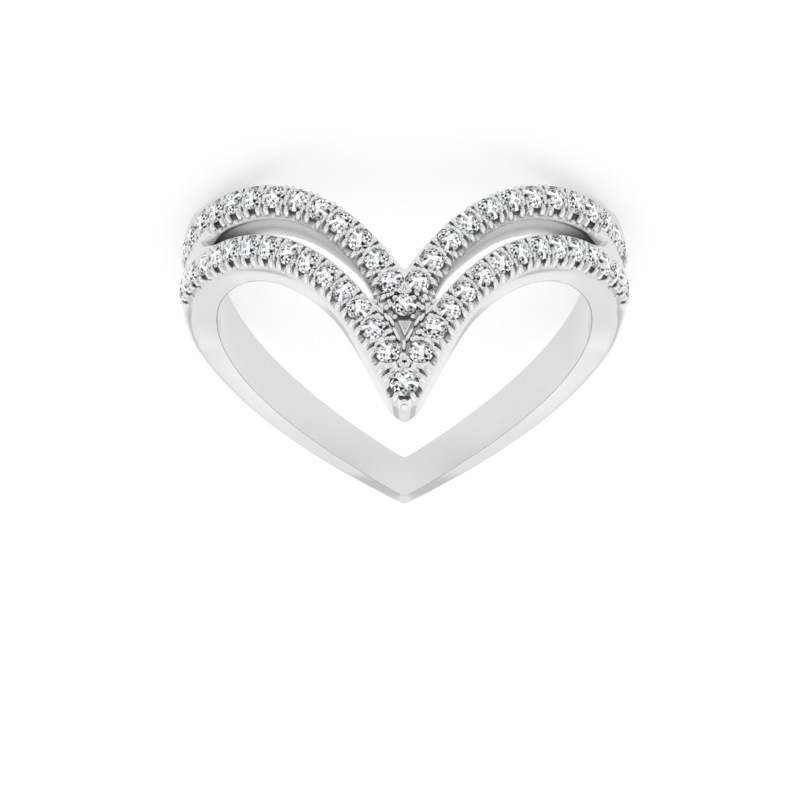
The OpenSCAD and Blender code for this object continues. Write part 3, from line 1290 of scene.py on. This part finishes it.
@dataclass(frozen=True)
class PaleFloor(Finish):
    """Plain matt floor, nearly white."""

    name: str = "pale_floor"
    colour: Triple = (0.59, 0.59, 0.59)
    worn: Triple = (0.6, 0.6, 0.6)
    cloud_scale: float = 30.0
    roughness: float = 0.9
    specular: float = 0.1
    glow: float = 0.43

    def values(self, tree: Tree, where: Socket) -> dict[int | str, object]:
        """What the shader's inputs hold."""
        cloud = self.cloud(tree, where)
        return {
            "Base Color": tree.blend(cloud, self.colour, self.worn), "Roughness": self.roughness,
            "Specular IOR Level": self.specular,
            "Emission Color": (1.0, 1.0, 1.0, 1.0), "Emission Strength": self.glow,
        }


class Scatter:
    """Stands copies of one shape at many places, by Geometry Nodes."""

    def __init__(self) -> None:
        """Builds the tree once for all uses."""
        self.group = bpy.data.node_groups.new("scatter", "GeometryNodeTree")
        face = self.group.interface
        for name, kind in (("Geometry", "Geometry"), ("Shape", "Object"), ("Finish", "Material")):
            face.new_socket(name, in_out="INPUT", socket_type=f"NodeSocket{kind}")
        face.new_socket("Geometry", in_out="OUTPUT", socket_type="NodeSocketGeometry")
        tree = Tree(self.group)
        given = tree.add("NodeGroupInput").outputs
        shape = tree.add("GeometryNodeObjectInfo", None, {"Object": given["Shape"]})
        turn = tree.add("GeometryNodeInputNamedAttribute", {"data_type": "QUATERNION"}, {"Name": "turn"})
        size = tree.add("GeometryNodeInputNamedAttribute", {"data_type": "FLOAT_VECTOR"}, {"Name": "size"})
        stand = tree.add(
            "GeometryNodeInstanceOnPoints", None,
            {"Points": given["Geometry"], "Instance": shape.outputs["Geometry"],
             "Rotation": turn.outputs["Attribute"], "Scale": size.outputs["Attribute"]},
        )
        real = tree.add("GeometryNodeRealizeInstances", None, {0: stand.outputs[0]})
        dress = tree.add("GeometryNodeSetMaterial", None, {0: real.outputs[0], "Material": given["Finish"]})
        tree.add("NodeGroupOutput", None, {0: dress.outputs[0]})
        self.inputs = {s.name: s.identifier for s in face.items_tree if s.in_out == "INPUT"}

    def stand(
        self, name: str, places: Sequence[tuple[Place, Triple]], shape: Piece,
        finish: Material,
    ) -> Piece:
        """Stands a shape at places.

        Args:
            name: Name of the new piece.
            places: Each place and the size of the shape there, along the place's axes.
            shape: The shape, 1 mm in size.
            finish: Material of the piece.

        Returns:
            The piece as a plain mesh.
        """
        mesh = bpy.data.meshes.new(name)
        mesh.from_pydata([tuple(p.spot) for p, _ in places], [], [])
        turns = [x for place, _ in places for x in place.turn()]
        sizes = [x for _, shares in places for x in shares]
        mesh.attributes.new("turn", "QUATERNION", "POINT").data.foreach_set("value", turns)
        mesh.attributes.new("size", "FLOAT_VECTOR", "POINT").data.foreach_set("vector", sizes)
        piece = add_object(name, mesh)
        modifier = piece.modifiers.new("scatter", "NODES")
        modifier.node_group = self.group
        modifier[self.inputs["Shape"]] = shape
        modifier[self.inputs["Finish"]] = finish
        settle(piece)
        return piece


@dataclass
class StoneRow:
    """The cut stones of one row."""

    row: Row
    scatter: Scatter
    jitter: float = 7.0
    seed: int = 3
    lift: float = 0.1

    def build(self, stone: Piece, finish: Material) -> Piece:
        """Stands the stones in their seats."""
        form = self.row.surface.form
        chance = random.Random(self.seed)
        places = []
        for length, d in self.row.stones():
            place = self.row.level_place(length, form.head_r - form.girdle_sink + self.lift)
            turn = 45 * chance.randrange(8) + chance.uniform(-self.jitter, self.jitter)
            places.append((place.turned(turn), (d, d, d)))
        return self.scatter.stand(f"{self.row.name}_brilliants", places, stone, finish)


@dataclass
class Prongs:
    """The split prongs on the front of one row and the beads along its rear edge."""

    row: Row
    scatter: Scatter
    prong_off: float = 0.25
    prong_across: float = 0.66
    prong_sink: float = -0.13
    prong_tilt: float = 46.0
    short_from: Zone = Zone(50, 22)
    short: float = 0.6
    short_pull: float = 0.7
    tip_turn: float = 32.0
    tip_out: float = 0.08
    bead_off: float = 0.19
    bead_across: float = -0.45
    bead_size: Triple = (0.14, 0.17, 0.1)
    claw_off: float = 0.11
    claw_across: float = 0.25
    claw_rise: float = 0.04
    claw_size: Triple = (0.1, 0.14, 0.1)

    def prong_places(self) -> list[tuple[Place, Triple]]:
        """Where the prongs stand."""
        head_r = self.row.surface.form.head_r
        places = []
        for length in filter(self.row.open_at, self.row.post_spots):
            post = self.row.place_at(length, head_r)
            share = mix(1, self.short, self.short_from.at(abs(self.row.angle(length))))
            pull = (1 - share) * Finger.half_length * self.short_pull
            for side in self.sides(length):
                place = post.moved(side * self.prong_off, self.prong_across - pull, self.prong_sink + pull)
                places.append((place.tilted(self.prong_tilt), (1, share, 1)))
        if self.row.name == "front":
            for turn in (-self.tip_turn, self.tip_turn):
                post = self.row.place_at(0.0, head_r).turned(turn)
                place = post.moved(0, self.prong_across + self.tip_out, self.prong_sink)
                places.append((place.tilted(self.prong_tilt), (1, 1, 1)))
        return places

    def bead_places(self) -> list[tuple[Place, Triple]]:
        """Where the beads and claws stand."""
        places = []
        for length in self.row.post_spots:
            post = self.row.place_at(length, self.row.surface.form.head_r)
            edges = [self.bead_across]
            if not self.row.open_at(length):
                edges.append(-self.bead_across)
            for side in self.sides(length):
                for across in edges:
                    places.append((post.moved(side * self.bead_off, across, 0.0), self.bead_size))
                for across in (-self.claw_across, self.claw_across):
                    claw = post.moved(side * self.claw_off, across, self.claw_rise)
                    places.append((claw, self.claw_size))
        return places

    def sides(self, length: float) -> tuple[int, ...]:
        """On which sides of a post a stone stands."""
        if abs(length) < max(self.row.post_spots):
            return (-1, 1)
        return (-1,) if length > 0 else (1,)

    def build(
        self, finger: Piece, grain: Piece, finish: Material
    ) -> list[Piece]:
        """Stands the prongs and the beads."""
        name = self.row.name
        return [
            self.scatter.stand(f"{name}_prongs", self.prong_places(), finger, finish),
            self.scatter.stand(f"{name}_beads", self.bead_places(), grain, finish),
        ]


@dataclass
class Centre:
    """The beads, struts and small triangle between the rows at the middle of the head.

    Sides are in millimetres towards the left of the head as worn, heights along the finger. Beads have
    a side, a height and a radius, struts a side and a height for each end, and the triangle's levels a
    share of its size and a depth.
    """

    surface: Surface
    scatter: Scatter
    beads: tuple[Triple, ...] = (
        (0.06, 8.38, 0.21), (0.06, 8.87, 0.15), (0.51, 7.49, 0.15), (-0.38, 7.54, 0.15), (0.66, 7.12, 0.15),
        (-0.62, 7.19, 0.15), (1.05, 6.48, 0.15), (-1.1, 6.47, 0.15), (0.8, 5.95, 0.15), (-0.8, 5.95, 0.15),
        (0.42, 6.42, 0.13), (-0.38, 6.4, 0.13), (0.28, 7.95, 0.12), (-0.3, 7.98, 0.12),
        (0.78, 6.75, 0.11), (-0.8, 6.8, 0.11), (1.3, 5.62, 0.13), (-1.3, 5.62, 0.13), (1.02, 6.05, 0.1),
        (-1.02, 6.05, 0.1), (0.72, 5.33, 0.13), (-0.83, 5.6, 0.13), (0.68, 5.65, 0.12), (-0.98, 5.15, 0.12),
    )
    bead_sink: float = 0.06
    struts: tuple[tuple[float, float, float, float], ...] = (
        (0.51, 6.89, 0.2, 7.59), (-0.38, 6.95, -0.07, 7.59), (1.35, 5.75, 0.95, 6.25),
        (-1.35, 5.75, -0.95, 6.25), (0.75, 6.3, 0.45, 6.85), (-0.75, 6.3, -0.45, 6.85),
        (0.02, 7.5, 0.02, 8.05), (0.9, 6.2, 0.7, 6.6), (-0.9, 6.2, -0.7, 6.6),
    )
    strut_w: float = 0.75
    strut_sink: float = 0.1
    triangle: tuple[Pair, ...] = ((0.27, 6.64), (-0.32, 6.64), (-0.02, 7.36))
    triangle_levels: tuple[Pair, ...] = ((1.05, 0.3), (1.0, 0.02), (0.78, 0.0), (0.7, 0.05), (0.02, 0.14))
    tip_bead_at: Pair = (10.47, 0.24)
    tip_bead_size: Triple = (0.15, 0.13, 0.13)
    shield_at: Pair = (10.66, 0.68)
    shield_tilt: float = 78.0
    shield_size: Triple = (0.2, 0.32, 0.06)

    def spot(self, side: float, along: float, sink: float) -> Place:
        """A place by its side and height, sunk below the tops of the rows."""
        return self.surface.place(self.surface.angle_at(side), along, self.surface.form.head_r - sink)

    def build(
        self, finger: Piece, grain: Piece, finish: Material
    ) -> list[Piece]:
        """Stands the beads, struts and triangle."""
        beads = [(self.spot(side, along, self.bead_sink), (r, r, r)) for side, along, r in self.beads]
        beads.append((self.spot(0.0, *self.tip_bead_at), self.tip_bead_size))
        beads.append((self.spot(0.0, *self.shield_at).tilted(self.shield_tilt), self.shield_size))
        struts = []
        for x0, y0, x1, y1 in self.struts:
            turn = math.degrees(math.atan2(x0 - x1, y1 - y0))
            length = math.hypot(x1 - x0, y1 - y0) / (2 * Finger.half_length)
            place = self.spot((x0 + x1) / 2, (y0 + y1) / 2, self.strut_sink).turned(turn)
            struts.append((place, (self.strut_w, length, self.strut_w)))
        return [
            self.scatter.stand("centre_beads", beads, grain, finish),
            self.scatter.stand("centre_struts", struts, finger, finish),
            self.build_triangle(finish),
        ]

    def build_triangle(self, finish: Material) -> Piece:
        """Makes the small triangle, with a raised rim round a sunk face."""
        middle = [sum(p[k] for p in self.triangle) / 3 for k in (0, 1)]
        rings = []
        for share, sink in self.triangle_levels:
            corners = [(mix(middle[0], x, share), mix(middle[1], y, share)) for x, y in self.triangle]
            rings.append([self.spot(x, y, sink).spot for x, y in corners])
        solid = Solid()
        solid.add_rings(rings)
        piece = solid.make("centre_triangle")
        piece.data.materials.append(finish)
        return piece


@dataclass(frozen=True)
class Patch:
    """A round patch of the light tent, from its soft edge to its full strength, in degrees."""

    way: Vector
    outer: float
    inner: float
    gain: float


@dataclass
class Studio:
    """Floor, soft light and camera. The photograph shows the ring upside down to how it lies here."""

    laid: Matrix
    tilt: float = 64.0
    distance: float = 300.0
    scale: float = 21.6
    seen_at: Pair = (404.4, 310.0)
    frame_px: float = 800.0
    sensor_w: float = 36.0
    clip_near: float = 0.01
    centre_along: float = 1.085
    floor_reach: float = 1.5
    level: float = 1.05
    card_way: Triple = (0.445, 0.87, 0.15)

    def way(self, direction: Vector) -> Vector:
        """Direction in the room of one that is given on the ring."""
        return (self.laid.to_3x3() @ direction).normalized()

    def camera_way(self) -> Vector:
        """Direction from the ring to the camera."""
        turn = math.radians(90 - self.tilt)
        return self.way(Vector((0, -math.cos(turn), math.sin(turn))))

    def add_camera(self) -> None:
        """Sets the camera at the photograph's angle, turned half round."""
        centre = self.laid @ Vector((0, 0, self.centre_along))
        back = self.camera_way()
        up = self.way(Vector((0, 0, -1)))
        up = (up - back * up.dot(back)).normalized()
        right = up.cross(back)
        camera = bpy.data.objects.new("camera", bpy.data.cameras.new("camera"))
        camera.location = centre + back * self.distance * MM
        off_x = (self.frame_px / 2 - self.seen_at[0]) / self.scale
        off_y = (self.seen_at[1] - self.frame_px / 2) / self.scale
        aim = centre + (right * off_x + up * off_y) * MM
        back = (camera.location - aim).normalized()
        up = (up - back * up.dot(back)).normalized()
        camera.rotation_mode = "QUATERNION"
        camera.rotation_quaternion = Matrix((up.cross(back), up, back)).transposed().to_quaternion()
        camera.data.sensor_width = self.sensor_w
        camera.data.lens = self.scale * self.distance * self.sensor_w / self.frame_px
        camera.data.clip_start = self.clip_near
        bpy.context.scene.collection.objects.link(camera)
        bpy.context.scene.camera = camera

    def add_floor(self, finish: Material) -> None:
        """Lays the floor."""
        signs = ((-1, -1), (1, -1), (1, 1), (-1, 1))
        corners = [Vector((x * self.floor_reach, y * self.floor_reach, 0)) for x, y in signs]
        floor = Solid(corners, [(0, 1, 2, 3)]).make("floor")
        floor.data.materials.append(finish)

    def patches(self) -> list[Patch]:
        """Lighter and darker patches of the tent: overhead, behind, at the lens and two grey cards."""
        x, y, z = self.card_way
        cards = [Vector((side * x, y, z)).normalized() for side in (-1, 1)]
        return [
            Patch(Vector((0, 0, 1)), 62, 38, 0.2), Patch(Vector((0, 0.94, 0.34)), 24, 6, -0.05),
            Patch(self.camera_way(), 36, 22, -0.4), *(Patch(way, 10, 5, -0.32) for way in cards),
        ]

    def add_light(self) -> None:
        """Fills the studio with soft white light."""
        world = bpy.data.worlds.new("tent")
        world.use_nodes = True
        world.node_tree.nodes.clear()
        tree = Tree(world.node_tree)
        seen = tree.add("ShaderNodeTexCoord").outputs["Generated"]
        level = self.level
        for patch in self.patches():
            outer, inner = (math.cos(math.radians(angle)) for angle in (patch.outer, patch.inner))
            level = level + tree.facing(seen, patch.way).step(outer, inner) * patch.gain
        light = tree.add("ShaderNodeBackground", None, {"Color": (1, 1, 1, 1), "Strength": level})
        tree.add("ShaderNodeOutputWorld", None, {"Surface": light.outputs[0]})
        bpy.context.scene.world = world
        bpy.context.scene.view_settings.view_transform = "Standard"


def main() -> None:
    """Builds the ring and its studio in order."""
    logging.basicConfig(level=logging.INFO, format="%(name)s: %(message)s")
    form = RingForm()
    surface = Surface(form, form.lay_down())
    rows = make_rows(surface)
    metal = PolishedMetal().make()
    clear = ClearStone().make()
    scatter = Scatter()
    pieces = [(Band(surface, rows).build(metal), "band", Slot.METAL)]

    stone = Brilliant().build("stone_shape")
    grain = Grain().build("grain_shape")
    finger = Finger().build("finger_shape")
    for row in rows:
        pieces.append((StoneRow(row, scatter).build(stone, clear), f"{row.name}_stones", Slot.STONE))
        pieces += [(p, None, Slot.METAL) for p in Prongs(row, scatter).build(finger, grain, metal)]
    pieces += [(p, None, Slot.METAL) for p in Centre(surface, scatter).build(finger, grain, metal)]
    for shape in (stone, grain, finger):
        bpy.data.objects.remove(shape)

    for piece, node, slot in pieces:
        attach(piece, BODY)
        if node:
            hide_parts(node)
        LOG.info("%s: %d faces", piece.name, len(piece.data.polygons))

    studio = Studio(surface.laid)
    studio.add_floor(PaleFloor().make())
    studio.add_light()
    studio.add_camera()


if __name__ == "__main__":
    main()
